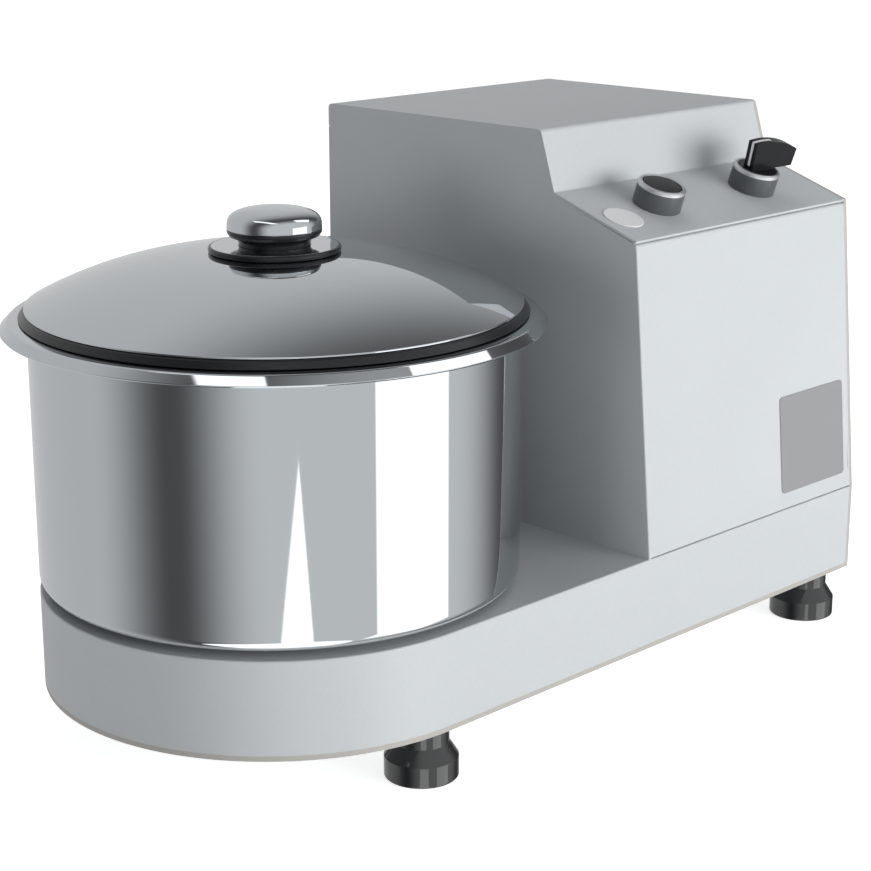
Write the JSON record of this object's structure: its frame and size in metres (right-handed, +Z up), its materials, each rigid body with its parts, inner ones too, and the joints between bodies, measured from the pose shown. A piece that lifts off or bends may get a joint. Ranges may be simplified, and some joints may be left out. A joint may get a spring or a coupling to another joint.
{
  "type": "vegetable chopper",
  "caption": "Bench-top food chopper: lidded steel bowl with spinning S-shaped knives on a low base, beside a sheet-steel motor housing with a sloping control panel.",
  "frame": {"origin": "on the table surface under the feet, at the middle of the whole machine's plan", "axes": "+Z up; +X from the bowl to the motor housing; -Y is the front, where the label place and the controls face"},
  "size_m": [0.5192, 0.2992, 0.326],
  "materials": {
    "steel_sheet": "satin stainless sheet with a fine grain",
    "sheet_edge": "sheared plate edge, warm grey",
    "polished_steel": "mirror-polished stainless",
    "foot_plastic": "glossy black",
    "knob_plastic": "glossy black",
    "control_black": "smooth black",
    "bezel_grey": "satin dark grey",
    "ring_chrome": "satin chrome",
    "index_white": "light grey",
    "label_metal": "satin bare plate",
    "round_label": "bare pale disc",
    "gasket_rubber": "black",
    "gland_plastic": "black",
    "screw_steel": "bright zinc",
    "bearing_steel": "ground steel",
    "cast_housing": "cast, bead blasted",
    "motor_paint": "grey motor paint",
    "stator_pack": "laminated steel with varnished windings",
    "fan_plastic": "black",
    "belt_rubber": "black ribbed",
    "electric_plastic": "grey",
    "capacitor_shell": "white",
    "plate_zinc": "zinc plated"
  },
  "bodies": {
    "root": {"base_shell": "steel_sheet", "base_plate": "sheet_edge", "side_plate": "sheet_edge", "front_wrap": "steel_sheet", "top_deck": "steel_sheet", "rear_panel": "steel_sheet", "feet": "foot_plastic", "foot_bolts": "screw_steel", "cover_screws": "screw_steel", "label_plate": "label_metal", "round_plate": "round_label", "cable_gland": "gland_plastic", "gland_nut": "gland_plastic", "bowl_seat": "polished_steel", "seat_screws": "screw_steel", "spindle_housing": "cast_housing", "bearing_outer_rings": "bearing_steel", "bearing_balls": "bearing_steel", "shaft_seal": "gasket_rubber", "motor_plate": "plate_zinc", "plate_screws": "screw_steel", "motor_flange": "cast_housing", "motor_frame": "motor_paint", "motor_stator": "stator_pack", "motor_end_bell": "cast_housing", "fan_cowl": "motor_paint", "motor_bolts": "screw_steel", "drive_belt": "belt_rubber", "capacitor": "capacitor_shell", "contactor": "electric_plastic", "electrics_bracket": "plate_zinc", "control_bezels": "bezel_grey", "control_rings": "ring_chrome", "control_barrels": "fan_plastic", "contact_blocks": "electric_plastic"},
    "bowl": {"bowl_shell": "polished_steel", "bowl_foot_ring": "polished_steel"},
    "lid": {"lid_dome": "polished_steel", "lid_gasket": "gasket_rubber", "knob_guard": "knob_plastic", "guard_face": "polished_steel", "knob_neck": "knob_plastic", "knob_cap": "polished_steel", "knob_screw": "screw_steel"},
    "blades": {"knife_hub": "polished_steel", "lower_knife": "polished_steel", "upper_knife": "polished_steel", "knife_spacer": "polished_steel", "knife_nut": "polished_steel", "hub_cap": "knob_plastic"},
    "spindle": {"spindle": "bearing_steel", "spindle_pulley": "cast_housing", "spindle_inner_rings": "bearing_steel"},
    "rotor": {"motor_shaft": "bearing_steel", "rotor_core": "stator_pack", "motor_pulley": "cast_housing", "motor_fan": "fan_plastic"},
    "button": {"button_cap": "control_black"},
    "selector": {"selector_handle": "control_black", "selector_index": "index_white"}
  },
  "joints": [
    {"name": "bowl_lift", "type": "slide", "parent": "root", "child": "bowl", "axis": [0, 0, 1], "range_m": [0, 0.25]},
    {"name": "lid_lift", "type": "slide", "parent": "bowl", "child": "lid", "axis": [0, 0, 1], "range_m": [0, 0.15]},
    {"name": "blade_spin", "type": "hinge", "parent": "bowl", "child": "blades", "pos_m": [-0.11005, 0, 0.1], "axis": [0, 0, 1], "continuous": true},
    {"name": "spindle_spin", "type": "hinge", "parent": "root", "child": "spindle", "pos_m": [-0.11005, 0, 0.1], "axis": [0, 0, 1], "continuous": true},
    {"name": "motor_spin", "type": "hinge", "parent": "root", "child": "rotor", "pos_m": [0.1566, 0.025, 0.1], "axis": [0, 0, 1], "continuous": true},
    {"name": "button_press", "type": "slide", "parent": "root", "child": "button", "axis": [0, 0.3156, -0.9489], "range_m": [0, 0.003], "stiffness_N_per_m": 600, "springref_m": -0.002},
    {"name": "selector_turn", "type": "hinge", "parent": "root", "child": "selector", "pos_m": [0.20075, -0.08805, 0.28046], "axis": [0, -0.3156, 0.9489], "range_deg": [-90, 0]}
  ],
  "couplings": [
    {"joint": "spindle_spin", "follows": "motor_spin", "ratio": 1.3333},
    {"joint": "blade_spin", "follows": "motor_spin", "ratio": 1.3333}
  ]
}
